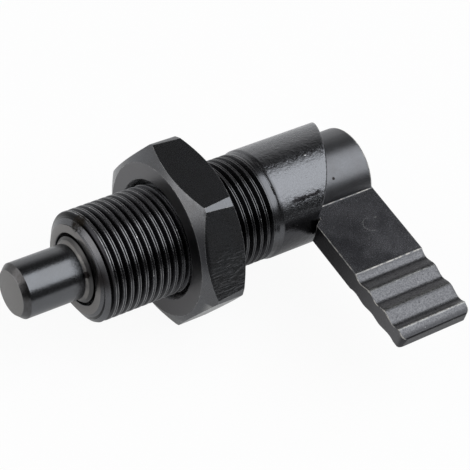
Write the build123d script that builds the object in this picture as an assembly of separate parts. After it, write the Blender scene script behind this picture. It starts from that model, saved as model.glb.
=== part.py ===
from build123d import *

import os
from math import acos, asin, atan, cos, degrees, pi, sin, sqrt

# Cam-action indexing plunger. Millimetres, +Z up.
# The axis of the plunger is the X axis. The tip of the pin points to -X and the lever's arm to -Y.
# The origin lies on that axis, in the plane of the lock nut's seating face.
# Angles about the axis are counted from +Z towards -Y.

# Plunger pin
tip_diameter = 10.0
tip_reach = 12.5              # how far the pin stands out of the sleeve at rest
tip_chamfer_length = 1.1
tip_chamfer_depth = 0.95
collar_diameter = 13.0
collar_proud = 0.3            # the collar's edge stands this far in front of the sleeve
collar_cone = 0.8
collar_length = 12.0          # from the sleeve's front face to the collar's rear
stem_diameter = 7.0
stem_in_hub = 15.0
stem_chamfer = 0.5
groove_root_diameter = 4.6

# Guide sleeve
thread_diameter = 20.0
thread_reach = 16.6           # from the sleeve's front face to the lock nut
thread_length = 34.6
thread_pitch = 1.5
thread_depth = 0.8
thread_crest = 0.58           # axial width of the flat crest between two turns of the groove
thread_lead_in = 0.25         # at the angle of +Z the groove's middle is this far in front of the sleeve
lead_chamfer_length = 1.85
lead_chamfer_depth = 1.3
body_step = 0.25              # the plain body stands this far above the thread
shoulder_gap = 1.7            # plain run-out between the thread and the shoulder
shoulder_length = 0.6
mouth_chamfer = 0.65
web_thickness = 3.5
rim_break = 0.3

# Cam and lever
stroke = 12.5
seat_margin = 0.7             # degrees between an edge of the arm and the foot of its ramp
hub_diameter = 16.2
hub_depth = 6.0               # how deep the hub stands in the sleeve below the cam's seat
hub_gap = 0.5                 # between the hub and the web
hub_rim_break = 0.3
arm_width = 13.6
arm_top = 3.0
arm_bottom = -1.0
arm_lip = 1.57                # how far the outer arm reaches down past the seat
lip_chamfer = 0.8
lip_step = 0.4
arm_corner_radius = 1.0
blind_gap = 0.5

# Wave grip at the end of the arm, counted outward from the axis
grip_start = 23.0
grip_first_reach = 3.95       # from the start of the grip to its first crest
grip_pitch = 4.5
grip_crests = 3
valley_lead = 1.85            # each valley lies this far inside its crest
grip_depth_top = 0.6
grip_depth_bottom = 0.3
grip_thinning = 0.2
nose_reach = 1.95             # from the last crest to the end face
nose_drop = 0.9
nose_top_radius = 0.5
nose_bottom_radius = 0.9

# Retaining pin
retainer_diameter = 3.0
retainer_from_hub_front = 8.6
retainer_inset = 0.1

# Spring
wire_diameter = 1.2
active_coils = 6
end_coils = 1
spring_reserve = 0.9          # left between the coils when the pin is drawn right back
closed_pitch_ratio = 1.02     # axial pitch of an end coil, in wire diameters
ground_share = 0.2            # how far the wire's centre starts outside the ground face, in diameters

# Lock nut
nut_across_flats = 30.0
nut_thickness = 9.0
nut_face_inset = 0.9          # from a flat to the edge of the flat face
nut_corner_trim_front = 0.22
nut_corner_trim_rear = 0.47
nut_chamfer_slope = 0.6       # axial rise of the corner chamfer for each unit of radius
nut_countersink = 1.05
nut_turn = 3.5                # degrees, top flat away from +Z towards +Y

# Clearances
running_clearance = 0.05      # radial, between a piece and the bore that guides it
wall_clearance = 0.15         # between the arm and the outside of the sleeve
press_interference = 0.01

# Radii
tip_radius = tip_diameter / 2
collar_radius = collar_diameter / 2
stem_radius = stem_diameter / 2
groove_radius = groove_root_diameter / 2
hub_radius = hub_diameter / 2
thread_radius = thread_diameter / 2
body_radius = thread_radius + body_step
retainer_radius = retainer_diameter / 2
wire_radius = wire_diameter / 2
bore_radius = collar_radius + running_clearance
stem_bore_radius = stem_radius + running_clearance
counterbore_radius = hub_radius + running_clearance
nut_bore_radius = thread_radius + running_clearance
relief_radius = body_radius + wall_clearance

# Places along the axis, from the front of the sleeve to the back of the lever
coils = active_coils + 2 * end_coils
spring_length = stroke + coils * wire_diameter + spring_reserve
front = -thread_reach
collar_rear = front + collar_length
web_front = collar_rear + spring_length
web_rear = web_front + web_thickness
hub_front = web_rear + hub_gap
cam_seat = hub_front + hub_depth
cam_land = cam_seat + stroke
lever_rear = cam_seat + arm_width
stem_end = hub_front + stem_in_hub
retainer_x = hub_front + retainer_from_hub_front
shoulder_front = front + thread_length + shoulder_gap

# Places along the arm, outward from the axis
first_crest = grip_start + grip_first_reach
last_crest = first_crest + (grip_crests - 1) * grip_pitch
arm_length = last_crest + nose_reach

# The seat spans the arm's inner corners; the rest of each half turn is the ramp.
seat_start = degrees(acos(arm_top / counterbore_radius)) - seat_margin
seat_end = 90 + degrees(asin(-arm_bottom / counterbore_radius)) + seat_margin
seat_angle = seat_end - seat_start
ramp_angle = 180 - seat_angle
lead = stroke * 360 / ramp_angle

# The thread's groove starts one turn ahead of the sleeve, at the angle of +Z.
thread_start = front - thread_lead_in - thread_pitch
thread_wound = thread_length + thread_pitch
thread_root_radius = thread_radius - thread_depth
run_out_angle = degrees(atan(thread_depth / thread_pitch))

# The retaining pin crosses the hub beside the axis, through the groove in the stem.
retainer_y = groove_radius + running_clearance + retainer_radius
groove_width = retainer_diameter + 2 * running_clearance
retainer_half = sqrt(hub_radius**2 - (retainer_y + retainer_radius) ** 2) - retainer_inset

cutter_overrun = 1.0
groove_overrun = 0.2

# Plane across the axis, from which helices start at the angle of +Z
axis_plane = Plane(origin=(0, 0, 0), x_dir=(0, 0, 1), z_dir=(1, 0, 0))


def turned(*outline):
    """A solid turned about the X axis from its (x, radius) outline."""
    return revolve(make_face(Polyline(*outline, close=True)), Axis.X)


def plunger_pin():
    """Tip, guide collar and stem in one, with a groove for the retaining pin."""
    tip_x = front - tip_reach
    collar_edge = front - collar_proud
    groove_front = retainer_x - groove_width / 2
    groove_rear = retainer_x + groove_width / 2
    return turned(
        (tip_x, 0),
        (tip_x, tip_radius - tip_chamfer_depth),
        (tip_x + tip_chamfer_length, tip_radius),
        (collar_edge - collar_cone, tip_radius),
        (collar_edge, collar_radius),
        (collar_rear, collar_radius),
        (collar_rear, stem_radius),
        (groove_front, stem_radius),
        (groove_front, groove_radius),
        (groove_rear, groove_radius),
        (groove_rear, stem_radius),
        (stem_end - stem_chamfer, stem_radius),
        (stem_end, stem_radius - stem_chamfer),
        (stem_end, 0),
    )


def cam_section():
    """Section of the space behind the cam, with the rim's outer edge break, at the angle of +Z."""
    outside = body_radius + cutter_overrun
    inside = counterbore_radius - cutter_overrun
    height = stroke + cutter_overrun
    return Plane.XZ * make_face(
        Polyline(
            (0, inside),
            (0, body_radius - rim_break),
            (-rim_break - cutter_overrun, outside),
            (height, outside),
            (height, inside),
            close=True,
        )
    )


def ramp_cutter(lefthand):
    """The cam section drawn along a helix that rises from the end of the seat to past the land."""
    overrun_angle = 5
    rise = lead * (ramp_angle + overrun_angle) / 360
    helix = axis_plane.location * Helix(lead, rise, body_radius, lefthand=lefthand)
    return sweep(cam_section(), path=helix, is_frenet=True)


def cam_cutter():
    """Flat seat for the lever's arm, and a helical ramp away from it on each side."""
    seat = Rot(X=seat_start) * revolve(cam_section(), Axis.X, seat_angle)
    ramp_up = Rot(X=seat_start) * ramp_cutter(lefthand=True)
    ramp_down = Rot(X=seat_end) * ramp_cutter(lefthand=False)
    return Pos(X=cam_seat) * (seat + ramp_up + ramp_down)


def thread_groove(length, cone_angle=0):
    """V groove wound about the axis; a cone angle lifts it out of the metal as it goes."""
    height = thread_depth + groove_overrun
    half_mouth = (thread_pitch - thread_crest) / 2 * height / thread_depth
    section = (
        Plane.XZ
        * Pos(Y=thread_root_radius)
        * Polygon((0, 0), (half_mouth, height), (-half_mouth, height), align=None)
    )
    helix = axis_plane.location * Helix(
        thread_pitch, length, thread_root_radius, cone_angle=cone_angle
    )
    return sweep(section, path=helix, is_frenet=True)


def lead_chamfer_cutter():
    """The ring taken off the front end of the thread."""
    slope = lead_chamfer_depth / lead_chamfer_length
    inside = thread_radius - lead_chamfer_depth - slope * cutter_overrun
    outside = thread_radius + slope * cutter_overrun
    return turned(
        (front - cutter_overrun, inside),
        (front + lead_chamfer_length + cutter_overrun, outside),
        (front - cutter_overrun, outside),
    )


def guide_sleeve():
    """Threaded sleeve: guide bore, web for the spring, and a counterbore inside the cam rim."""
    blank = turned(
        (front, bore_radius + mouth_chamfer),
        (front, thread_radius),
        (shoulder_front, thread_radius),
        (shoulder_front + shoulder_length, body_radius),
        (cam_land - rim_break, body_radius),
        (cam_land, body_radius - rim_break),
        (cam_land, counterbore_radius),
        (web_rear, counterbore_radius),
        (web_rear, stem_bore_radius),
        (web_front, stem_bore_radius),
        (web_front, bore_radius),
        (front + mouth_chamfer, bore_radius),
    )
    thread = Pos(X=thread_start) * thread_groove(thread_wound)
    run_out_turn = Rot(X=360 * thread_wound / thread_pitch)
    run_out = Pos(X=thread_start + thread_wound) * run_out_turn * thread_groove(thread_pitch, run_out_angle)
    return blank - thread - lead_chamfer_cutter() - run_out - cam_cutter()


def wave(surface, inward, depth):
    """Crests and valleys of one side of the grip, as (y, z) points from its start outward."""

    def place(distance, sunk):
        thinning = grip_thinning * (distance - grip_start) / (last_crest - grip_start)
        return (-distance, surface + inward * (thinning + sunk))

    points = [place(grip_start, 0)]
    for index in range(grip_crests):
        crest = first_crest + index * grip_pitch
        points.append(place(crest - valley_lead, depth))
        points.append(place(crest, 0))
    return points


def arm_profile():
    """Side outline of the arm: flat, then the wave grip on both sides, then the rounded nose."""
    top = wave(arm_top, -1, grip_depth_top)
    bottom = wave(arm_bottom, 1, grip_depth_bottom)
    nose_top = (-arm_length, top[-1][1] - nose_drop)
    nose_bottom = (-arm_length, bottom[-1][1])
    nose = FilletPolyline(
        top[-1], nose_top, nose_bottom, bottom[-1], radius=[nose_top_radius, nose_bottom_radius]
    )
    flat = Polyline(top[0], (0, arm_top), (0, arm_bottom), bottom[0])
    return Plane.YZ * make_face(flat + Spline(*top) + nose + Spline(*bottom))


def arm():
    """Flat arm with the wave grip, relieved where it passes the outside of the sleeve."""
    arm_front = cam_seat - arm_lip
    side = Pos(X=arm_front) * extrude(arm_profile(), arm_width + arm_lip)
    plan = make_face(
        FilletPolyline(
            (arm_front, 0),
            (arm_front, -arm_length),
            (lever_rear, -arm_length),
            (lever_rear, 0),
            radius=arm_corner_radius,
        )
        + Line((lever_rear, 0), (arm_front, 0))
    )
    height = arm_top - arm_bottom
    blank = side & Pos(Z=arm_bottom) * extrude(plan, height)
    relief = turned(
        (arm_front - cutter_overrun, 0),
        (cam_seat, 0),
        (cam_seat, relief_radius),
        (cam_seat - lip_step, relief_radius),
        (arm_front, relief_radius + lip_chamfer),
        (arm_front - cutter_overrun, relief_radius + lip_chamfer),
    )
    return blank - relief


def retainer_rod(radius, half_length):
    """A rod across the hub, beside the axis."""
    return Pos(retainer_x, retainer_y, 0) * Cylinder(radius, 2 * half_length)


def lever():
    """Hub and arm in one, with a blind bore for the stem and a cross hole for the retaining pin."""
    hub = turned(
        (hub_front, stem_bore_radius),
        (hub_front, hub_radius),
        (lever_rear - hub_rim_break, hub_radius),
        (lever_rear, hub_radius - hub_rim_break),
        (lever_rear, 0),
        (stem_end + blind_gap, 0),
        (stem_end + blind_gap, stem_bore_radius),
    )
    bore = turned(
        (hub_front, 0),
        (hub_front, stem_bore_radius),
        (stem_end + blind_gap, stem_bore_radius),
        (stem_end + blind_gap, 0),
    )
    cross_hole = retainer_rod(retainer_radius - press_interference, hub_radius)
    return hub + arm() - bore - cross_hole


def retaining_pin():
    """Rod that holds the hub on the stem and lets it turn there."""
    return retainer_rod(retainer_radius, retainer_half)


def spring():
    """Compression spring between the collar and the web, with closed and ground ends."""
    steps_per_turn = 8
    mean_radius = (stem_radius + bore_radius) / 2
    closed_pitch = closed_pitch_ratio * wire_diameter
    start = -ground_share * wire_diameter
    closed_height = start + end_coils * closed_pitch
    active_pitch = (spring_length - 2 * closed_height) / active_coils

    def place(turn):
        if turn < end_coils:
            return start + closed_pitch * turn
        if turn > coils - end_coils:
            return spring_length - start - closed_pitch * (coils - turn)
        return closed_height + active_pitch * (turn - end_coils)

    points = []
    for step in range(coils * steps_per_turn + 1):
        turn = step / steps_per_turn
        angle = 2 * pi * turn
        points.append((place(turn), mean_radius * cos(angle), mean_radius * sin(angle)))
    path = Spline(*points)
    section = Plane(path @ 0, z_dir=path % 0) * Circle(wire_radius)
    coil = sweep(section, path=path, is_frenet=True)
    ground = Pos(X=spring_length / 2) * Box(spring_length, thread_diameter, thread_diameter)
    return Pos(X=collar_rear) * (coil & ground)


def lock_nut():
    """Thin hexagon nut, chamfered on both faces and turned down a little at its corners."""
    corner_radius = nut_across_flats / sqrt(3)
    face_radius = nut_across_flats / 2 - nut_face_inset
    front_corner = corner_radius - nut_corner_trim_front
    rear_corner = corner_radius - nut_corner_trim_rear
    sink_radius = nut_bore_radius + nut_countersink
    hexagon = extrude(
        Plane.YZ * RegularPolygon(nut_across_flats / 2, 6, major_radius=False, rotation=-nut_turn),
        nut_thickness,
    )
    envelope = turned(
        (0, sink_radius),
        (0, face_radius),
        (nut_chamfer_slope * (front_corner - face_radius), front_corner),
        (nut_thickness - nut_chamfer_slope * (rear_corner - face_radius), rear_corner),
        (nut_thickness, face_radius),
        (nut_thickness, sink_radius),
        (nut_thickness - nut_countersink, nut_bore_radius),
        (nut_countersink, nut_bore_radius),
    )
    return hexagon & envelope


os.makedirs("parts", exist_ok=True)
for piece in (guide_sleeve, plunger_pin, spring, lever, retaining_pin, lock_nut):
    export_step(piece(), f"parts/{piece.__name__}.step")
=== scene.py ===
from math import ceil, cos, pi, radians, sin

import bmesh
import bpy
from mathutils import Matrix, Vector


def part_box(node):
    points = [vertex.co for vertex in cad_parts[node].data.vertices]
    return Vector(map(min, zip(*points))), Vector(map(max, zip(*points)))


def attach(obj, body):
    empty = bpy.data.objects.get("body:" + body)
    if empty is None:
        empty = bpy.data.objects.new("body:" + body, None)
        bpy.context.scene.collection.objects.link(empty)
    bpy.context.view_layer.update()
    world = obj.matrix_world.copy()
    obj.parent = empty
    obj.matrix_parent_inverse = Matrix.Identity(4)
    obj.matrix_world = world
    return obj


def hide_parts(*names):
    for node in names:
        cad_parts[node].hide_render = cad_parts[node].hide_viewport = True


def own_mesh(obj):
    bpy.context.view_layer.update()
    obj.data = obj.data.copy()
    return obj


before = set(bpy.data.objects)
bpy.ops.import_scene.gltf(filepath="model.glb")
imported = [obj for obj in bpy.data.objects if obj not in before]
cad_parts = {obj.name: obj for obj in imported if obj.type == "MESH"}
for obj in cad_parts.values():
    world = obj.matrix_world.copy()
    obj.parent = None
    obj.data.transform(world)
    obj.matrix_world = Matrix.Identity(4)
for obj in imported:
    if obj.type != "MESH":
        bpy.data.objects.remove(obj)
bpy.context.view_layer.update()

# Indexing plunger with a cam lever, in metres. The axis is X, the pin's tip points to -X, the arm to -Y.
# Angles about the axis are counted from +Z towards -Y.
MM = 0.001
SLEEVE_LOW, SLEEVE_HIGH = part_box("guide_sleeve")
PIN_LOW, PIN_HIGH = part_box("plunger_pin")
NUT_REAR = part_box("lock_nut")[1].x
SPRING_LOW, SPRING_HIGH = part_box("spring")

COLUMNS = 192                       # corners round every turned piece
WELD = 0.002 * MM                   # corners closer than this become one
FINE_WELD = 0.0005 * MM             # the same for the machined solids
FLAT_LIMIT = 0.4                    # degrees between two faces that count as one flat face

# Guide sleeve
FRONT = SLEEVE_LOW.x
LAND = SLEEVE_HIGH.x
BODY_RADIUS = SLEEVE_HIGH.z
THREAD_RADIUS = BODY_RADIUS - 0.25 * MM
THREAD_PITCH = 1.5 * MM
THREAD_DEPTH = 0.8 * MM
THREAD_CREST = 0.58 * MM            # axial width of the crest's flat
THREAD_LEAD_IN = 0.25 * MM          # at +Z the groove's middle is this far in front of the sleeve
CREST_ROUND = 0.08 * MM
CREST_SEAM = 0.11 * MM              # depth of the shallow seam along the middle of the crest
ROOT_SIDE = 0.05 * MM               # from the groove's middle to where its rounded root starts
LEAD_LENGTH = 1.3 * MM
LEAD_DEPTH = 1.9 * MM
THREAD_FADE = 34.3 * MM             # from the front face to where the thread starts to run out
FADE_LENGTH = 1.4 * MM
SHOULDER = 36.3 * MM
SHOULDER_LENGTH = 0.6 * MM
SHOULDER_CURVE = ((0, 0), (0.4, 0.5), (0.8, 0.95), (1, 1))  # shares of its length and of its height
EDGE_ROW = 0.25 * MM                # a row of corners this far from an edge keeps the wall beside it even
STROKE = 12.5 * MM
SEAT_START = 67.7
SEAT_ANGLE = 30.0
COUNTERBORE_RADIUS = 8.15 * MM
COUNTERBORE_BREAK = 0.1 * MM
WEB_FRONT = 35.0 * MM
WEB_REAR = 38.5 * MM
STEM_BORE_RADIUS = 3.55 * MM
BORE_RADIUS = 6.55 * MM
MOUTH_CHAMFER = 0.12 * MM
RIM_BREAK = 0.3 * MM

# Plunger pin
TIP_RADIUS = 5 * MM
TIP_CHAMFER = 1.1 * MM
TIP_CHAMFER_DEPTH = 0.95 * MM
COLLAR_FRONT = FRONT - 0.85 * MM
COLLAR_REAR = FRONT + 12 * MM
COLLAR_STEP = 0.5 * MM              # the collar's front stretch is this much slimmer
COLLAR_STEP_FRONT = FRONT - 0.02 * MM
COLLAR_STEP_REAR = FRONT + 1.4 * MM
STEM_RADIUS = 3.5 * MM
STEM_CHAMFER = 0.5 * MM
GROOVE = FRONT + 47.6 * MM
GROOVE_HALF = 1.55 * MM
GROOVE_RADIUS = 2.3 * MM
PIN_ROUND = 0.05 * MM
# An undercut, a cone, a small step and a drop: (behind the collar's front, out from the tip's radius) in mm.
COLLAR_MOUTH = ((-0.25, 0), (-0.15, -0.1), (0, -0.1), (0.25, 0.4), (0.36, 0.41), (0.36, 0.52), (0.42, 0.56))

# Spring
SPRING_COILS = 8
END_COILS = 1
WIRE_DIAMETER = 1.2 * MM
CLOSED_PITCH = 1.02 * WIRE_DIAMETER
GROUND_DEPTH = 0.2 * WIRE_DIAMETER


def added(name, data):
    made = bpy.data.objects.new(name, data)
    bpy.context.scene.collection.objects.link(made)
    return made


def evaluated(holder):
    """The holder's mesh as its modifiers leave it."""
    graph = bpy.context.evaluated_depsgraph_get()
    return bpy.data.meshes.new_from_object(holder.evaluated_get(graph))


def rim_place(angle):
    """Where the cam rim stands along the axis: a seat, a ramp on each side and a land opposite."""
    from_seat = (angle - SEAT_START) % 360
    ramp = 180 - SEAT_ANGLE
    if from_seat <= SEAT_ANGLE:
        share = 0
    elif from_seat <= SEAT_ANGLE + ramp:
        share = (from_seat - SEAT_ANGLE) / ramp
    elif from_seat <= 2 * SEAT_ANGLE + ramp:
        share = 1
    else:
        share = (360 - from_seat) / ramp
    return LAND - STROKE * (1 - share)


def axis_point(place, radius, angle):
    return (place, -radius * sin(radians(angle)), radius * cos(radians(angle)))


def turned_mesh(bm, outline):
    """Rings about the axis through the outline's (place, radius) corners; a place may follow the angle."""
    angles = [SEAT_START + 360 * column / COLUMNS for column in range(COLUMNS)]
    rings = []
    for place, radius in outline:
        if radius == 0:
            rings.append([bm.verts.new(axis_point(place, 0, 0))] * COLUMNS)
            continue
        ring = []
        for angle in angles:
            at = place(angle) if callable(place) else place
            ring.append(bm.verts.new(axis_point(at, radius, angle)))
        rings.append(ring)
    for near, far in zip(rings, rings[1:]):
        for column in range(COLUMNS):
            beside = (column + 1) % COLUMNS
            corners = [near[column], near[beside], far[beside], far[column]]
            unique = list(dict.fromkeys(corners))
            if len(unique) > 2:
                bm.faces.new(unique)


def rounded(outline, radius, steps=3):
    """The outline with each inner corner turned into a short arc."""
    points = [Vector(point) for point in outline]
    result = [tuple(points[0])]
    for before, corner, after in zip(points, points[1:], points[2:]):
        reach = min(radius, 0.45 * (before - corner).length, 0.45 * (after - corner).length)
        start = corner + (before - corner).normalized() * reach
        end = corner + (after - corner).normalized() * reach
        for step in range(steps + 1):
            share = step / steps
            near = start.lerp(corner, share)
            far = corner.lerp(end, share)
            result.append(tuple(near.lerp(far, share)))
    result.append(tuple(points[-1]))
    return result


def finished(name, bm, body, nodes, material, sharp=35):
    """Closes the mesh's seams, points its faces outward and hands the piece over."""
    bmesh.ops.remove_doubles(bm, verts=bm.verts, dist=WELD)
    bmesh.ops.recalc_face_normals(bm, faces=bm.faces)
    mesh = bpy.data.meshes.new(name + "_skin")
    bm.to_mesh(mesh)
    bm.free()
    mesh.shade_smooth()
    mesh.set_sharp_from_angle(angle=radians(sharp))
    mesh.materials.append(material)
    piece = added(name + "_skin", mesh)
    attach(piece, body)
    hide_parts(*nodes)
    return piece


class Nodes:
    """Adds nodes to a tree one at a time; each input is a value or another node's output."""

    def __init__(self, tree):
        self.tree = tree

    def link(self, value, socket):
        if isinstance(value, bpy.types.NodeSocket):
            self.tree.links.new(value, socket)
        elif value is not None:
            plain_colour = socket.type == "RGBA" and len(value) == 3
            socket.default_value = (*value, 1) if plain_colour else value

    def node(self, kind, inputs=(), **settings):
        made = self.tree.nodes.new(kind)
        for key, value in settings.items():
            setattr(made, key, value)
        for key, value in dict(inputs).items():
            self.link(value, made.inputs[key])
        return made

    def math(self, operation, first, second=None, third=None):
        made = self.node("ShaderNodeMath", {0: first, 1: second, 2: third}, operation=operation)
        return made.outputs[0]

    def product(self, value, *factors):
        for factor in factors:
            value = self.math("MULTIPLY", value, factor)
        return value


# Geometry nodes


class Tree(Nodes):
    """A geometry node tree with named inputs."""

    def __init__(self, name, inputs):
        super().__init__(bpy.data.node_groups.new(name, "GeometryNodeTree"))
        sockets = self.tree.interface
        sockets.new_socket("Geometry", in_out="OUTPUT", socket_type="NodeSocketGeometry")
        for label, kind in inputs.items():
            sockets.new_socket(label, in_out="INPUT", socket_type="NodeSocket" + kind)
        self.source = self.node("NodeGroupInput").outputs

    def curve(self, value, points):
        """The value's height on straight lines through the points."""
        made = self.node("ShaderNodeFloatCurve", {"Value": value})
        line = made.mapping.curves[0]
        for x, y in points[1:-1]:
            line.points.new(x, y)
        line.points[0].location = points[0]
        line.points[-1].location = points[-1]
        for point in line.points:
            point.handle_type = "VECTOR"
        made.mapping.update()
        return made.outputs["Value"]

    def moved(self, geometry, x, y, z):
        place = self.node("ShaderNodeCombineXYZ", {0: x, 1: y, 2: z})
        made = self.node("GeometryNodeSetPosition", {"Geometry": geometry, "Position": place.outputs[0]})
        return made.outputs[0]

    def end(self, geometry):
        """Every tree ends in Realize Instances and Set Material."""
        real = self.node("GeometryNodeRealizeInstances", {"Geometry": geometry})
        painted = self.node(
            "GeometryNodeSetMaterial", {"Geometry": real.outputs[0], "Material": self.source["Material"]}
        )
        out = self.node("NodeGroupOutput")
        self.tree.links.new(painted.outputs[0], out.inputs[0])
        return self.tree


def grown(name, group, values):
    """The mesh that a node tree makes with these inputs."""
    holder = added(name, bpy.data.meshes.new(name))
    modifier = holder.modifiers.new(name, "NODES")
    modifier.node_group = group
    for item in group.interface.items_tree:
        if item.in_out == "INPUT" and item.name in values:
            modifier[item.identifier] = values[item.name]
    mesh = evaluated(holder)
    bpy.data.objects.remove(holder)
    bm = bmesh.new()
    bm.from_mesh(mesh)
    return bm


# Guide sleeve and pin


def thread_start():
    """Where the first turn's crest would begin along the axis, at the angle where the mesh starts."""
    root = (THREAD_PITCH + THREAD_CREST) / 2
    return FRONT - THREAD_LEAD_IN - root + THREAD_PITCH * (SEAT_START / 360 - 1)


def thread_profile():
    """One pitch as (share of the pitch, height over the root): two ridges with a seam, then the groove."""
    half_mouth = (THREAD_PITCH - THREAD_CREST) / 2
    flank = Vector((half_mouth, THREAD_DEPTH)).normalized() * CREST_ROUND
    middle = THREAD_CREST / 2
    root = THREAD_CREST + half_mouth
    ridge = [(-flank.x, -flank.y), (0.25 * CREST_ROUND, -0.25 * CREST_ROUND), (CREST_ROUND, 0)]
    ridge.append((2 * CREST_ROUND, -0.28 * CREST_ROUND))
    behind = [(THREAD_CREST - place, height) for place, height in reversed(ridge)]
    root_corners = ((-ROOT_SIDE, 0.89), (0, 0.96), (ROOT_SIDE, 0.89))
    valley = [(root + aside, -share * THREAD_DEPTH) for aside, share in root_corners]
    points = ridge + [(middle, -CREST_SEAM)] + behind + valley
    points.append((THREAD_PITCH - flank.x, -flank.y))
    return [(place / THREAD_PITCH, 1 + height / THREAD_DEPTH) for place, height in points]


def thread_tree():
    """A skin that winds round the axis turn beside turn, each turn one pitch of the thread's profile."""
    tree = Tree(
        "screw_thread",
        {
            "Turns": "Int", "Columns": "Int", "Start": "Float", "Pitch": "Float", "Start Angle": "Float",
            "Crest Radius": "Float", "Depth": "Float", "Front": "Float", "End": "Float",
            "Lead Radius": "Float", "Lead Slope": "Float", "Fade Start": "Float", "Fade Length": "Float",
            "Merge Distance": "Float", "Material": "Material",
        },
    )
    source = tree.source
    profile = thread_profile()
    rows = len(profile) - 1
    steps = tree.math("MULTIPLY_ADD", source["Turns"], source["Columns"], 1)
    grid = tree.node(
        "GeometryNodeMeshGrid", {"Size X": 1, "Size Y": 1, "Vertices X": steps, "Vertices Y": rows + 1}
    )
    at = tree.node("ShaderNodeSeparateXYZ", {0: tree.node("GeometryNodeInputPosition").outputs[0]})
    turn = tree.product(tree.math("ADD", at.outputs[0], 0.5), source["Turns"])
    row = tree.math("ADD", at.outputs[1], 0.5)
    share = tree.curve(row, [(index / rows, place) for index, (place, height) in enumerate(profile)])
    height = tree.curve(row, [(index / rows, height) for index, (place, height) in enumerate(profile)])
    raw_place = tree.math(
        "MULTIPLY_ADD", tree.math("ADD", turn, share), source["Pitch"], source["Start"]
    )
    place = tree.math("MINIMUM", tree.math("MAXIMUM", raw_place, source["Front"]), source["End"])
    faded = tree.math(
        "DIVIDE", tree.math("SUBTRACT", place, source["Fade Start"]), source["Fade Length"]
    )
    keep = tree.math("SUBTRACT", 1, tree.node("ShaderNodeClamp", {"Value": faded}).outputs[0])
    depth = tree.product(source["Depth"], keep, tree.math("SUBTRACT", 1, height))
    full = tree.math("SUBTRACT", source["Crest Radius"], depth)
    past_front = tree.math("SUBTRACT", place, source["Front"])
    lead = tree.math("MULTIPLY_ADD", past_front, source["Lead Slope"], source["Lead Radius"])
    radius = tree.math("MINIMUM", full, lead)
    angle = tree.math("MULTIPLY_ADD", turn, 2 * pi, source["Start Angle"])
    wound = tree.moved(
        grid.outputs["Mesh"],
        place,
        tree.product(radius, -1, tree.math("SINE", angle)),
        tree.product(radius, tree.math("COSINE", angle)),
    )
    welded = tree.node(
        "GeometryNodeMergeByDistance", {"Geometry": wound, "Distance": source["Merge Distance"]}
    )
    return tree.end(welded.outputs[0])


def guide_sleeve(material):
    """Thread and run-out, plain body and cam rim, counterbore, web and guide bore, in one closed skin."""
    thread_end = FRONT + SHOULDER
    body_start = thread_end + SHOULDER_LENGTH
    start = thread_start()
    bm = grown(
        "thread",
        thread_tree(),
        {
            "Turns": ceil((thread_end - start) / THREAD_PITCH) + 1, "Columns": COLUMNS,
            "Start": start, "Pitch": THREAD_PITCH, "Start Angle": radians(SEAT_START),
            "Crest Radius": THREAD_RADIUS, "Depth": THREAD_DEPTH, "Front": FRONT, "End": thread_end,
            "Lead Radius": THREAD_RADIUS - LEAD_DEPTH, "Lead Slope": LEAD_DEPTH / LEAD_LENGTH,
            "Fade Start": FRONT + THREAD_FADE, "Fade Length": FADE_LENGTH,
            "Merge Distance": WELD, "Material": material,
        },
    )

    def below_rim(depth, share=1):
        return lambda angle: body_start + share * (rim_place(angle) - depth - body_start)

    outline = [
        (thread_end + along * SHOULDER_LENGTH, THREAD_RADIUS + out * (BODY_RADIUS - THREAD_RADIUS))
        for along, out in SHOULDER_CURVE
    ]
    outline += [
        (body_start + EDGE_ROW, BODY_RADIUS),
        (below_rim(RIM_BREAK, 0.5), BODY_RADIUS),
        (below_rim(RIM_BREAK + EDGE_ROW), BODY_RADIUS),
        (below_rim(RIM_BREAK), BODY_RADIUS),
        (below_rim(0.3 * RIM_BREAK), BODY_RADIUS - 0.3 * RIM_BREAK),
        (below_rim(0), BODY_RADIUS - RIM_BREAK),
        (below_rim(0), COUNTERBORE_RADIUS + COUNTERBORE_BREAK),
        (below_rim(COUNTERBORE_BREAK), COUNTERBORE_RADIUS),
        (FRONT + WEB_REAR, COUNTERBORE_RADIUS),
        (FRONT + WEB_REAR, STEM_BORE_RADIUS),
        (FRONT + WEB_FRONT, STEM_BORE_RADIUS),
        (FRONT + WEB_FRONT, BORE_RADIUS),
        (FRONT + MOUTH_CHAMFER, BORE_RADIUS),
        (FRONT, BORE_RADIUS + MOUTH_CHAMFER),
        (FRONT, THREAD_RADIUS - LEAD_DEPTH),
    ]
    turned_mesh(bm, outline)
    finished("guide_sleeve", bm, "sleeve", ["guide_sleeve"], material)


def plunger_pin(material):
    """Tip, conical collar and grooved stem."""
    tip, end = PIN_LOW.x, PIN_HIGH.x
    collar_radius = PIN_HIGH.z
    outline = [(tip, 0), (tip, TIP_RADIUS - TIP_CHAMFER_DEPTH), (tip + TIP_CHAMFER, TIP_RADIUS)]
    outline += [(COLLAR_FRONT + behind * MM, TIP_RADIUS + out * MM) for behind, out in COLLAR_MOUTH]
    outline += [
        (COLLAR_STEP_FRONT, collar_radius - COLLAR_STEP),
        (COLLAR_STEP_REAR, collar_radius - COLLAR_STEP),
        (COLLAR_STEP_REAR, collar_radius),
        (COLLAR_REAR, collar_radius),
        (COLLAR_REAR, STEM_RADIUS),
        (GROOVE - GROOVE_HALF, STEM_RADIUS),
        (GROOVE - GROOVE_HALF, GROOVE_RADIUS),
        (GROOVE + GROOVE_HALF, GROOVE_RADIUS),
        (GROOVE + GROOVE_HALF, STEM_RADIUS),
        (end - STEM_CHAMFER, STEM_RADIUS),
        (end, STEM_RADIUS - STEM_CHAMFER),
        (end, 0),
    ]
    bm = bmesh.new()
    turned_mesh(bm, rounded(outline, PIN_ROUND))
    finished("plunger_pin", bm, "plunger", ["plunger_pin"], material, sharp=50)


# Lever and lock nut: the machined solids with their edges broken


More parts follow.
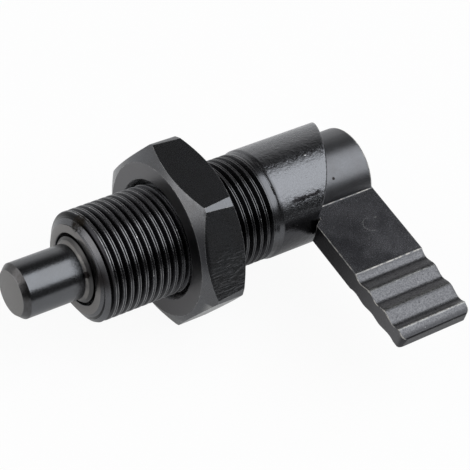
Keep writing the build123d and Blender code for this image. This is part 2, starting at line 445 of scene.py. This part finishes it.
def edge_broken(name, material, edge_material, width, limit=32, segments=2, clamp=False):
    """A copy of a machined solid, merged into clean faces and with its sharp edges rounded over."""
    bm = bmesh.new()
    bm.from_mesh(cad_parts[name].data)
    bmesh.ops.remove_doubles(bm, verts=bm.verts, dist=FINE_WELD)
    bmesh.ops.dissolve_limit(bm, angle_limit=radians(FLAT_LIMIT), verts=bm.verts, edges=bm.edges)
    mesh = bpy.data.meshes.new(name)
    bm.to_mesh(mesh)
    bm.free()
    mesh.shade_smooth()
    mesh.materials.append(material)
    mesh.materials.append(edge_material)
    holder = added(name, mesh)
    bevel = holder.modifiers.new("edge_break", "BEVEL")
    bevel.material = 1
    bevel.width = width
    bevel.segments = segments
    bevel.limit_method = "ANGLE"
    bevel.angle_limit = radians(limit)
    bevel.use_clamp_overlap = clamp
    done = evaluated(holder)
    bpy.data.objects.remove(holder)
    bm = bmesh.new()
    bm.from_mesh(done)
    piece = finished(name, bm, name, [name], material, sharp=40)
    piece.data.materials.append(edge_material)
    even = piece.modifiers.new("even_normals", "WEIGHTED_NORMAL")
    even.keep_sharp = True
    smooth = evaluated(piece)
    piece.modifiers.clear()
    piece.data = smooth


def lever(material, edge_material):
    edge_broken("lever", material, edge_material, 0.13 * MM)


def lock_nut(material, edge_material):
    """Its shallow chamfer needs a lower limit for what counts as an edge."""
    edge_broken(
        "lock_nut", material, edge_material, 0.2 * MM, limit=20, segments=3, clamp=True
    )


# Spring


def spring_tree():
    """A round wire that winds round the axis, with its end coils lying closed."""
    tree = Tree(
        "compression_spring",
        {
            "Coils": "Int", "Steps": "Int", "Sides": "Int", "Start": "Float", "Length": "Float",
            "Mean Radius": "Float", "Wire Radius": "Float", "Material": "Material",
        },
    )
    source = tree.source
    line = tree.node("GeometryNodeCurvePrimitiveLine")
    count = tree.math("MULTIPLY_ADD", source["Coils"], source["Steps"], 1)
    points = tree.node("GeometryNodeResampleCurve", {"Curve": line.outputs[0], "Count": count})
    along = tree.node("GeometryNodeSplineParameter").outputs["Factor"]
    length = SPRING_HIGH.x - SPRING_LOW.x
    low = GROUND_DEPTH / length
    closed = (END_COILS * CLOSED_PITCH - GROUND_DEPTH) / length
    ends = END_COILS / SPRING_COILS
    place = tree.curve(along, [(0, low), (ends, closed), (1 - ends, 1 - closed), (1, 1 - low)])
    at = tree.math("MULTIPLY_ADD", place, source["Length"], source["Start"])
    angle = tree.product(along, source["Coils"], 2 * pi)
    wound = tree.moved(
        points.outputs[0],
        at,
        tree.product(source["Mean Radius"], tree.math("COSINE", angle)),
        tree.product(source["Mean Radius"], tree.math("SINE", angle)),
    )
    ring = tree.node(
        "GeometryNodeCurvePrimitiveCircle",
        {"Resolution": source["Sides"], "Radius": source["Wire Radius"]},
    )
    wire = tree.node(
        "GeometryNodeCurveToMesh", {"Curve": wound, "Profile Curve": ring.outputs[0], "Fill Caps": True}
    )
    return tree.end(wire.outputs[0])


def spring(material):
    bm = grown(
        "spring",
        spring_tree(),
        {
            "Coils": SPRING_COILS, "Steps": 48, "Sides": 16, "Start": SPRING_LOW.x,
            "Length": SPRING_HIGH.x - SPRING_LOW.x, "Mean Radius": SPRING_HIGH.z - WIRE_DIAMETER / 2,
            "Wire Radius": WIRE_DIAMETER / 2, "Material": material,
        },
    )
    piece = finished("spring", bm, "sleeve", ["spring"], material)
    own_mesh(piece)


# Finishes

GRAIN = 0.16 * MM
BRIGHT = (0.8, 0.8, 0.8)
# Near black, used for smudges and for painted shade.
SMUDGE_AND_SHADE = (0.03, 0.03, 0.032)
BODY_START = FRONT + 37 * MM
CREST_HALF = THREAD_CREST / 2
ARM_FRONT = 26.95 * MM              # the arm's side that faces the pin
ARM_TOP = 3.0                       # mm above the axis
HUB_RADIUS = 8.2 * MM
GRIP_START = 22.95 * MM
FIRST_FOLD = 26.95 * MM             # where the waves' first painted highlight line runs, out from the axis
FOLD_PITCH = 4.5 * MM
FLATS_RADIUS = 14.95 * MM           # the nut's flats lie outside this radius


class Finish(Nodes):
    """A steel finish: a tone with patches laid over it, a roughness and a relief.

    A share says where a patch covers: 0 nowhere, 1 fully.
    """

    def __init__(self, name, colour, metallic, roughness):
        self.material = bpy.data.materials.new(name)
        self.material.use_nodes = True
        super().__init__(self.material.node_tree)
        self.shader = self.tree.nodes["Principled BSDF"]
        self.shade({"Base Color": colour, "Metallic": metallic, "Roughness": roughness})
        self.place = self.node("ShaderNodeTexCoord").outputs["Object"]

    def shade(self, values):
        for socket, value in values.items():
            self.link(value, self.shader.inputs[socket])

    def oxide(self, pale, dark, roughness):
        """Near black with a fine grain and slow drifts of tone, and rougher where the grain is."""
        drift = self.ramp(self.noise(4 * MM, 3, 0.6), [(0.35, 0), (0.65, 1)])
        self.speckle = self.ramp(self.noise(GRAIN, 3, 0.65), [(0.3, 0), (0.7, 1)])
        self.tone = self.mix(drift, pale, dark)
        self.lay(tuple(0.7 * channel for channel in dark), self.speckle, 0.5)
        self.rough = self.math("MULTIPLY_ADD", self.speckle, 0.10, roughness)

    def lay(self, colour, share, strength=None):
        """Covers the tone with a colour as far as the share goes; the strength thins the cover."""
        if strength is not None:
            share = self.math("MULTIPLY", share, strength)
        self.tone = self.mix(share, self.tone, colour)

    def roughen(self, share, amount):
        self.rough = self.math("MULTIPLY_ADD", share, amount, self.rough)

    def noise(self, size, detail=2, roughness=0.5, place=None, distortion=0):
        """Cloudy noise whose lumps are about this size."""
        made = self.node(
            "ShaderNodeTexNoise",
            {
                "Vector": place or self.place, "Scale": 1 / size, "Detail": detail,
                "Roughness": roughness, "Distortion": distortion,
            },
        )
        return made.outputs["Fac"]

    def ramp(self, value, stops):
        """Spreads a value over these (place, brightness) stops."""
        made = self.node("ShaderNodeValToRGB", {"Fac": value})
        line = made.color_ramp
        for element, (place, level) in zip(line.elements, stops):
            element.position = place
            element.color = (level, level, level, 1)
        return made.outputs["Color"]

    def mix(self, share, first, second):
        made = self.node("ShaderNodeMix", {"Factor": share, 6: first, 7: second}, data_type="RGBA")
        return made.outputs[2]

    def spread(self, value, low, high):
        """0 at the low value and 1 at the high one, with a soft step between them."""
        limits = {"Value": value, "From Min": low, "From Max": high}
        return self.node("ShaderNodeMapRange", limits, interpolation_type="SMOOTHSTEP").outputs[0]

    def between(self, value, outer_low, low, high, outer_high):
        """1 between the inner limits and 0 beyond the outer ones."""
        return self.product(self.spread(value, outer_low, low), self.spread(value, outer_high, high))

    def sector(self, turns, *angles):
        """1 between the inner angles and 0 beyond the outer ones, in degrees."""
        return self.between(turns, *(angle / 360 for angle in angles))

    def patches(self, size, detail, roughness, low, high):
        """Clouds: 0 where the noise is at the low value, 1 where it is at the high one."""
        return self.spread(self.noise(size, detail, roughness), low, high)

    def spot(self, place, reach, ragged=0.5, core=0.7):
        """1 in the core of a mark at this place in millimetres, 0 beyond its reach, with a ragged rim."""
        far = self.distance(place)
        frayed = self.math("SUBTRACT", self.noise(0.35 * reach * MM, 3, 0.7), 0.5)
        distance = self.math("MULTIPLY_ADD", frayed, 2 * ragged * reach * MM, far)
        return self.spread(distance, reach * MM, core * reach * MM)

    def distance(self, place):
        """How far it is from this place in millimetres."""
        made = self.node(
            "ShaderNodeVectorMath", {0: self.place, 1: Vector(place) * MM}, operation="DISTANCE"
        )
        return made.outputs["Value"]

    def xyz(self):
        return self.node("ShaderNodeSeparateXYZ", {0: self.place}).outputs

    def axis_place(self):
        """The place along the axis, the radius and the angle in turns, counted from +Z towards -Y."""
        x, y, z = self.xyz()
        radius = self.math("SQRT", self.math("MULTIPLY_ADD", y, y, self.product(z, z)))
        turns = self.math("DIVIDE", self.math("ARCTAN2", self.product(y, -1), z), 2 * pi)
        return x, radius, turns

    def grain_relief(self):
        return self.noise(2 * GRAIN, 3, 0.6), 0.004 * MM

    def done(self, *relief):
        """Puts the tone, the roughness and the (height, depth) layers of relief on the shader."""
        below = None
        for height, depth in relief:
            made = self.node("ShaderNodeBump", {"Height": height, "Distance": depth, "Normal": below})
            below = made.outputs["Normal"]
        self.shade({"Base Color": self.tone, "Roughness": self.rough, "Normal": below})
        return self.material


def black_oxide(name, pale, dark, roughness):
    """Oiled black oxide on steel."""
    finish = Finish(name, pale, 1, roughness)
    finish.oxide(pale, dark, roughness - 0.05)
    return finish.done(finish.grain_relief())


def worn_edge(name, steel, cover=0.4):
    """A broken edge where handling has rubbed the black away in places."""
    finish = Finish(name, (0.14, 0.142, 0.148), 0.45, 0.3)
    rubbed = finish.patches(0.9 * MM, 4, 0.7, cover, cover + 0.2)
    finish.tone = finish.mix(rubbed, (0.13, 0.132, 0.138), steel)
    finish.rough = finish.math("MULTIPLY_ADD", rubbed, 0.1, 0.27)
    return finish.done((finish.noise(0.3 * MM, 3, 0.6), 0.008 * MM))


def thread_wear_and_shade(finish, along, radius, turns):
    """Dull crests with worn and nicked edges, a groove blackened by oil and painted shade, and painted shade
    on the turns behind the nut.
    """
    # The share of a pitch behind the crest's start. The whole turns only keep the value above 0.
    whole_turns = 100
    first = whole_turns + SEAT_START / 360 - thread_start() / THREAD_PITCH
    wound = finish.math("MULTIPLY_ADD", along, 1 / THREAD_PITCH, first)
    share = finish.math("FRACT", finish.math("SUBTRACT", wound, turns))
    half = CREST_HALF
    from_crest = finish.math("PINGPONG", finish.math("SUBTRACT", share, half / THREAD_PITCH), 0.5)
    away = finish.product(from_crest, THREAD_PITCH)
    # The threaded stretch from outside: behind the front face and in front of the run-out.
    fade = FRONT + THREAD_FADE
    threaded = finish.product(
        finish.between(along, FRONT + 0.03 * MM, FRONT + 0.12 * MM, fade + 0.3 * MM, fade + 1.1 * MM),
        finish.spread(radius, THREAD_RADIUS - 1.35 * MM, THREAD_RADIUS - 1.2 * MM),
    )
    lead_end = FRONT + LEAD_LENGTH
    past_lead = finish.product(threaded, finish.spread(along, lead_end, lead_end + 0.2 * MM))
    crest = finish.product(past_lead, finish.spread(away, half - 0.11 * MM, half - 0.16 * MM))
    finish.lay((0.05, 0.05, 0.054), crest)
    # The groove: dark oil with painted shade in it, painted darker still in the lead-in turn.
    groove = finish.product(threaded, finish.spread(away, half + 0.01 * MM, half + 0.09 * MM))
    finish.lay(finish.mix(past_lead, (0.008, 0.008, 0.009), (0.034, 0.034, 0.037)), groove)
    edge = finish.product(
        finish.between(away, half - 0.15 * MM, half - 0.11 * MM, half - 0.02 * MM, half + 0.03 * MM),
        past_lead,
    )
    rubbed = finish.math("MULTIPLY_ADD", finish.patches(1.6 * MM, 3, 0.6, 0.3, 0.62), 0.7, 0.3)
    finish.lay((0.26, 0.26, 0.265), finish.product(edge, rubbed))
    # Painted shade on the turns behind the nut.
    shade_behind_nut = finish.spread(along, NUT_REAR, NUT_REAR + 0.4 * MM)
    finish.lay(SMUDGE_AND_SHADE, finish.product(threaded, shade_behind_nut), 0.5)
    nicked = finish.patches(0.9 * MM, 2, 0.5, 0.68, 0.74)
    finish.lay((0.55, 0.55, 0.55), finish.product(edge, nicked))


def sleeve_oxide():
    """Black oxide, worn and with painted shade on the thread, stained and with a painted dark reflection on
    the front face, pitted and streaked on the body, with painted shade underneath.
    """
    finish = Finish("sleeve_black_oxide", (0.125, 0.13, 0.138), 1, 0.26)
    finish.oxide((0.128, 0.131, 0.14), (0.112, 0.112, 0.117), 0.21)
    along, radius, turns = finish.axis_place()
    thread_wear_and_shade(finish, along, radius, turns)
    # The front face, with a brown stain at the top and a painted dark reflection beside the pin.
    face = finish.spread(along, FRONT + 0.05 * MM, FRONT + 0.02 * MM)
    finish.lay((0.19, 0.183, 0.179), face)
    mottled = finish.math("MULTIPLY_ADD", finish.patches(0.6 * MM, 4, 0.7, 0.36, 0.58), 0.55, 0.42)
    stained = finish.spot((-16.0, 3.2, 9.0), 1.9, 0.8)
    finish.lay((0.012, 0.009, 0.006), finish.product(stained, mottled))
    finish.lay((0.015, 0.013, 0.013), finish.spot((-16.2, -6.7, 4.9), 3.8, 0.15, core=0.1), 0.95)
    # The plain body and its pits.
    body = finish.spread(along, BODY_START - 0.2 * MM, BODY_START + 0.2 * MM)
    finish.lay(finish.mix(finish.speckle, (0.165, 0.168, 0.178), (0.13, 0.131, 0.138)), body)
    pitted = finish.product(body, finish.patches(0.6 * MM, 4, 0.7, 0.64, 0.72))
    finish.lay(SMUDGE_AND_SHADE, pitted, 0.8)
    # A ragged black streak along the body, up from the arm's side, and painted shade on the body's underside.
    streak_angle = 44.3
    off_line = finish.math("ABSOLUTE", finish.math("SUBTRACT", turns, streak_angle / 360))
    frayed = finish.math("MULTIPLY_ADD", finish.noise(0.7 * MM, 3, 0.7), 9 / 360, -4.2 / 360)
    streak = finish.product(
        finish.spread(finish.math("ADD", off_line, frayed), 2.6 / 360, 1.6 / 360),
        finish.between(along, 22.2 * MM, 23.4 * MM, 28.4 * MM, 29.6 * MM),
    )
    finish.lay((0.015, 0.014, 0.015), streak, 0.95)
    painted_underside_shade = finish.sector(turns, 56, 66, 120, 150)
    finish.lay((0.035, 0.034, 0.037), finish.product(painted_underside_shade, body), 0.75)
    finish.lay(BRIGHT, finish.spot((29.2, -0.65, 10.23), 0.25))
    finish.lay(BRIGHT, finish.spot((23.2, -9.6, 3.5), 0.14))
    finish.lay(BRIGHT, finish.spot((-15.85, -6.85, 7.14), 0.2))
    finish.roughen(face, -0.04)
    finish.roughen(body, -0.04)
    lumpy = finish.product(finish.noise(0.8 * MM, 4, 0.65), body)
    return finish.done(finish.grain_relief(), (lumpy, 0.09 * MM))


def pin_oxide():
    """Polished black oxide, with turning marks on the tip's face and darker patches where the pin leaves the
    collar.
    """
    finish = Finish("pin_black_oxide", (0.14, 0.143, 0.15), 1, 0.25)
    finish.oxide((0.137, 0.141, 0.15), (0.128, 0.13, 0.136), 0.19)
    along, radius, turns = finish.axis_place()
    tip = PIN_LOW.x
    face = finish.spread(along, tip + 0.05 * MM, tip + 0.02 * MM)
    finish.lay((0.185, 0.18, 0.175), face)
    chamfer = finish.between(along, tip + 0.04 * MM, tip + 0.1 * MM, tip + 1.02 * MM, tip + 1.12 * MM)
    browned = finish.math("MULTIPLY_ADD", finish.noise(0.5 * MM, 4, 0.7), 0.9, 0.1)
    finish.lay((0.05, 0.045, 0.042), finish.product(chamfer, browned))
    # Darker patches on the pin where it leaves the collar.
    near_collar = finish.spread(along, FRONT - 3.4 * MM, FRONT - 1.2 * MM)
    darker_near_collar = finish.product(near_collar, finish.patches(0.35 * MM, 4, 0.75, 0.4, 0.6))
    finish.lay(SMUDGE_AND_SHADE, darker_near_collar, 0.75)
    # The collar's front, and the darker cone round it.
    collar = finish.spread(along, COLLAR_FRONT - 0.1 * MM, COLLAR_FRONT + 0.05 * MM)
    rubbed = finish.patches(1.8 * MM, 3, 0.6, 0.35, 0.6)
    finish.lay(finish.mix(rubbed, (0.12, 0.118, 0.117), (0.17, 0.163, 0.157)), collar)
    cone = finish.product(collar, finish.spread(radius, 5.46 * MM, 5.52 * MM))
    finish.lay((0.065, 0.064, 0.064), cone)
    finish.lay((0.008, 0.005, 0.005), finish.spot((-17.4, -4.1, 3.5), 0.75, 0.7), 0.9)
    finish.lay(BRIGHT, finish.spot((-27.8, -2.4, 3.85), 0.16, 0.3))
    finish.roughen(near_collar, 0.1)
    # Turning marks: fine steps outward, long ones round the axis.
    mark_width = 0.16 * MM
    swirl = finish.node(
        "ShaderNodeCombineXYZ",
        {0: finish.math("DIVIDE", radius, mark_width), 1: finish.product(turns, 5)},
    )
    marks = finish.product(finish.noise(1, place=swirl.outputs[0]), face)
    worn = finish.noise(0.7 * MM, 4, 0.65)
    return finish.done(finish.grain_relief(), (worn, 0.014 * MM), (marks, 0.02 * MM))


def lever_oxide():
    """Satin on the turned hub, smooth and clouded on the arm's flat, coarse on the wave grip."""
    finish = Finish("lever_black_oxide", (0.125, 0.128, 0.136), 1, 0.27)
    finish.oxide((0.148, 0.151, 0.16), (0.13, 0.13, 0.136), 0.2)
    along, radius, _ = finish.axis_place()
    _, y, z = finish.xyz()
    hub = finish.spread(radius, HUB_RADIUS + 0.15 * MM, HUB_RADIUS)
    off_hub = finish.math("SUBTRACT", 1, hub)
    grip = finish.spread(y, -22.4 * MM, -23.2 * MM)
    # The arm's flat: clouded, and brighter towards the hub.
    flat = finish.mix(finish.patches(7 * MM, 4, 0.6, 0.36, 0.66), (0.11, 0.11, 0.121), (0.25, 0.25, 0.268))
    near_hub = finish.math("MULTIPLY", finish.spread(y, -16 * MM, -9 * MM), 0.5)
    finish.lay(finish.mix(near_hub, flat, (0.27, 0.27, 0.29)), off_hub, 0.85)
    # The grip's grit.
    coarse = finish.noise(0.28 * MM, 4, 0.7)
    gritty = finish.mix(finish.spread(coarse, 0.35, 0.65), (0.075, 0.075, 0.08), (0.14, 0.14, 0.146))
    finish.lay(gritty, grip)
    # The arm's side that faces the pin, with a painted dark reflection that is darkest near the hub, and the
    # dark nose.
    near_front = finish.spread(along, ARM_FRONT + 0.05 * MM, ARM_FRONT - 0.05 * MM)
    front = finish.product(near_front, off_hub)
    farther = finish.spread(y, -14 * MM, -36 * MM)
    finish.lay(finish.mix(farther, (0.02, 0.019, 0.021), (0.12, 0.118, 0.122)), front)
    finish.lay(SMUDGE_AND_SHADE, finish.spread(y, -36.6 * MM, -37.5 * MM), 0.75)
    # Painted highlight lines along the folds of the waves and where the grip begins, on the upper side only.
    outward = finish.product(y, -1)
    from_fold = finish.math(
        "PINGPONG", finish.math("SUBTRACT", outward, FIRST_FOLD), FOLD_PITCH / 2
    )
    from_end = finish.math("ABSOLUTE", finish.math("SUBTRACT", outward, GRIP_START))
    fold_highlight = finish.math(
        "MAXIMUM",
        finish.product(finish.spread(from_fold, 0.4 * MM, 0.12 * MM), grip),
        finish.spread(from_end, 0.2 * MM, 0.08 * MM),
    )
    upper = finish.spread(z, (ARM_TOP - 0.5) * MM, (ARM_TOP - 0.3) * MM)
    fold_highlight = finish.product(fold_highlight, upper, finish.patches(0.7 * MM, 4, 0.7, 0.3, 0.6))
    finish.lay((0.3, 0.3, 0.295), fold_highlight, 0.7)
    # Pocks and chips on the grip, flecks on the whole arm.
    pocked = finish.product(finish.patches(0.6 * MM, 3, 0.6, 0.34, 0.28), grip)
    finish.lay((0.02, 0.02, 0.021), pocked, 0.85)
    chipped = finish.product(finish.patches(0.5 * MM, 3, 0.6, 0.7, 0.75), grip)
    finish.lay((0.4, 0.4, 0.39), chipped, 0.8)
    flecked = finish.product(finish.patches(0.42 * MM, 2, 0.5, 0.74, 0.78), off_hub)
    finish.lay((0.3, 0.3, 0.3), flecked, 0.6)
    # A curved scratch, a dark dot and three chips.
    ring = finish.math(
        "ABSOLUTE", finish.math("SUBTRACT", finish.distance((36.4, -14.6, ARM_TOP)), 1.5 * MM)
    )
    near_side = finish.spread(along, 36.9 * MM, 36.1 * MM)
    scratch = finish.product(finish.spread(ring, 0.16 * MM, 0.05 * MM), near_side, off_hub)
    finish.lay((0.6, 0.6, 0.6), scratch, 0.6)
    finish.lay((0.02, 0.018, 0.018), finish.spot((33.73, -4.96, 6.4), 0.34, 0.6))
    for x, y, reach in ((38.2, -13.6, 0.24), (34.1, -17.2, 0.14), (29.6, -12.4, 0.12)):
        finish.lay((0.6, 0.6, 0.59), finish.spot((x, y, ARM_TOP), reach, 0.6))
    finish.roughen(hub, 0.1)
    finish.roughen(grip, 0.06)
    wavy = finish.noise(2.5 * MM, 3, 0.6)
    grit = finish.product(coarse, grip)
    return finish.done(finish.grain_relief(), (wavy, 0.02 * MM), (grit, 0.025 * MM))


def nut_oxide():
    """Black oxide with the cropping die's ripples across the flats."""
    finish = Finish("nut_black_oxide", (0.125, 0.128, 0.136), 1, 0.27)
    finish.oxide((0.128, 0.131, 0.139), (0.116, 0.116, 0.12), 0.22)
    along, radius, turns = finish.axis_place()
    # The seating face, and a soft painted dark reflection on it and on the chamfer.
    face = finish.spread(along, 0.06 * MM, 0.02 * MM)
    finish.lay((0.15, 0.148, 0.152), face)
    painted_dark_reflection = finish.spot((0.2, -11.0, 9.0), 6.5, 0.05, core=0.2)
    finish.lay((0.03, 0.03, 0.033), finish.product(painted_dark_reflection, finish.spread(along, 1.6 * MM, 1.0 * MM)), 0.85)
    # The flats: the lower one is painted paler as a reflection of the floor, all have flecks and ripples, and
    # one is torn deeper.
    flats = finish.product(
        finish.spread(along, 0.5 * MM, 1.5 * MM),
        finish.spread(radius, FLATS_RADIUS - 0.15 * MM, FLATS_RADIUS),
    )
    painted_floor_reflection = finish.sector(turns, 91, 93, 137, 139)
    finish.lay((0.32, 0.32, 0.315), finish.product(painted_floor_reflection, flats))
    flecked = finish.product(finish.patches(0.5 * MM, 2, 0.5, 0.74, 0.78), flats)
    finish.lay((0.35, 0.33, 0.3), flecked, 0.5)
    stretched = finish.node("ShaderNodeMapping", {"Vector": finish.place, "Scale": (0.25, 1, 1)})
    wave = finish.noise(0.42 * MM, 1, place=stretched.outputs[0], distortion=0.5)
    torn = finish.math("MULTIPLY_ADD", finish.spot((7.0, -15.0, 1.0), 9.0, 0.3), 0.85, 0.15)
    finish.roughen(face, 0.1)
    return finish.done(finish.grain_relief(), (finish.product(wave, flats, torn), 0.06 * MM))


# Studio

FLOOR_LEVEL = -17.2 * MM
FLOOR_HALF = 4
SWEEP_RADIUS = 2.5
SWEEP_TOP = 2.1
SWEEP_COLUMNS = 48
SWEEP_ANGLES = (20, 200)
SWEEP_FADE = (0.2, 1.9, 0.05)       # glows fully up to this height, and from the second one on this faintly
GLOW_IN_VIEW = 0.94
GLOW_IN_METAL = 0.94
FLOOR_GLOW_IN_METAL = 0.25
LAMP_DISTANCE = 1.0
COOL_WHITE = (0.95, 0.975, 1.0)
WARM_WHITE = (1, 0.99, 0.98)
WORLD_STRENGTH = 0.055


def lit_white(name, glow_in_metal, fade=None):
    """White that takes the object's shadow, and shows as plain white in a view and in reflections."""
    material = bpy.data.materials.new(name)
    material.use_nodes = True
    made = Nodes(material.node_tree)
    shader = made.tree.nodes["Principled BSDF"]
    made.link((0.85, 0.85, 0.85), shader.inputs["Base Color"])
    made.link(1, shader.inputs["Roughness"])
    strength = 1.0
    if fade:
        place = made.node("ShaderNodeTexCoord").outputs["Object"]
        height = made.node("ShaderNodeSeparateXYZ", {0: place}).outputs["Z"]
        limits = dict(zip(("From Min", "From Max", "To Max"), fade))
        strength = made.node("ShaderNodeMapRange", {"Value": height, "To Min": 1, **limits}).outputs[0]
    glow = made.node("ShaderNodeEmission", {"Strength": strength})
    ray = made.node("ShaderNodeLightPath").outputs
    seen = made.product(ray["Is Camera Ray"], GLOW_IN_VIEW)
    mirrored = made.math("MAXIMUM", ray["Is Glossy Ray"], ray["Is Transmission Ray"])
    share = made.math("MULTIPLY_ADD", mirrored, glow_in_metal, seen)
    blend = made.node("ShaderNodeMixShader", {0: share, 1: shader.outputs[0], 2: glow.outputs[0]})
    made.link(blend.outputs[0], made.tree.nodes["Material Output"].inputs["Surface"])
    return material


def staged(name, corners, faces, material):
    mesh = bpy.data.meshes.new(name)
    mesh.from_pydata(corners, [], faces)
    mesh.shade_smooth()
    mesh.materials.append(material)
    added(name, mesh)


def aimed(name, data, place, right, up, back):
    """A lamp or camera at this place, with its own axes along these lines; it looks away from its back."""
    seat = added(name, data)
    turn = Matrix((right, up, back)).transposed()
    seat.matrix_world = Matrix.Translation(place) @ turn.to_4x4()
    return seat


def softbox(name, direction, along, length, width, radiance, colour):
    """A flat soft lamp that looks at the origin; its length runs as near as it can to the given line."""
    lamp = bpy.data.lights.new(name, "AREA")
    lamp.shape = "RECTANGLE"
    lamp.size = length
    lamp.size_y = width
    lamp.energy = radiance * pi * length * width
    lamp.color = colour
    back = Vector(direction).normalized()
    side = (Vector(along) - back * Vector(along).dot(back)).normalized()
    aimed(name, lamp, back * LAMP_DISTANCE, side, back.cross(side), back)


def studio():
    """A floor with a sweep behind it, a softbox overhead, two smaller ones at the tip's end, a camera."""
    half = FLOOR_HALF
    corners = [(-half, -half, FLOOR_LEVEL), (half, -half, FLOOR_LEVEL), (half, half, FLOOR_LEVEL)]
    corners.append((-half, half, FLOOR_LEVEL))
    staged("floor", corners, [(0, 1, 2, 3)], lit_white("floor_white", FLOOR_GLOW_IN_METAL))
    wall = []
    faces = []
    first, last = SWEEP_ANGLES
    for column in range(SWEEP_COLUMNS + 1):
        angle = radians(first + (last - first) * column / SWEEP_COLUMNS)
        for level in (FLOOR_LEVEL, SWEEP_TOP):
            wall.append((SWEEP_RADIUS * cos(angle), SWEEP_RADIUS * sin(angle), level))
        if column:
            faces.append((2 * column - 2, 2 * column, 2 * column + 1, 2 * column - 1))
    staged("sweep", wall, faces, lit_white("sweep_white", GLOW_IN_METAL, SWEEP_FADE))
    softbox("overhead_softbox", (0.42, -0.3, 0.857), (0, 0.943, 0.333), 1.17, 1.25, 2.45, COOL_WHITE)
    softbox("low_card", (-0.93, 0.25, 0.22), (-0.26, -0.96, 0), 0.6, 0.36, 1.4, WARM_WHITE)
    softbox("side_card", (-0.66, 0.42, 0.62), (-0.44, -0.9, 0), 1.0, 0.75, 1.4, WARM_WHITE)
    world = bpy.data.worlds.new("studio")
    world.use_nodes = True
    world.node_tree.nodes["Background"].inputs[0].default_value = (1, 1, 1, 1)
    world.node_tree.nodes["Background"].inputs[1].default_value = WORLD_STRENGTH
    bpy.context.scene.world = world

    camera = bpy.data.cameras.new("camera")
    camera.sensor_width = 36
    camera.lens = 153.2
    camera.clip_start = 0.01
    place = Vector((-160.99, -164.34, 262.87)) * MM
    right = Vector((0.8132, -0.5422, 0.2116))
    up = Vector((0.3076, 0.7090, 0.6346))
    back = Vector((-0.4941, -0.4510, 0.7433))
    bpy.context.scene.camera = aimed("camera", camera, place, right, up, back)
    bpy.context.scene.view_settings.view_transform = "Standard"


guide_sleeve(sleeve_oxide())
plunger_pin(pin_oxide())
lever(lever_oxide(), worn_edge("lever_worn_edge", (0.4, 0.385, 0.36)))
lock_nut(nut_oxide(), worn_edge("nut_worn_edge", (0.35, 0.34, 0.33), cover=0.5))
spring(black_oxide("spring_wire", (0.28, 0.28, 0.29), (0.25, 0.25, 0.26), 0.3))
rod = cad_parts["retaining_pin"]
rod_finish = black_oxide("retaining_pin_steel", (0.2, 0.2, 0.21), (0.16, 0.16, 0.17), 0.35)
rod.data.materials.clear()
rod.data.materials.append(rod_finish)
studio()
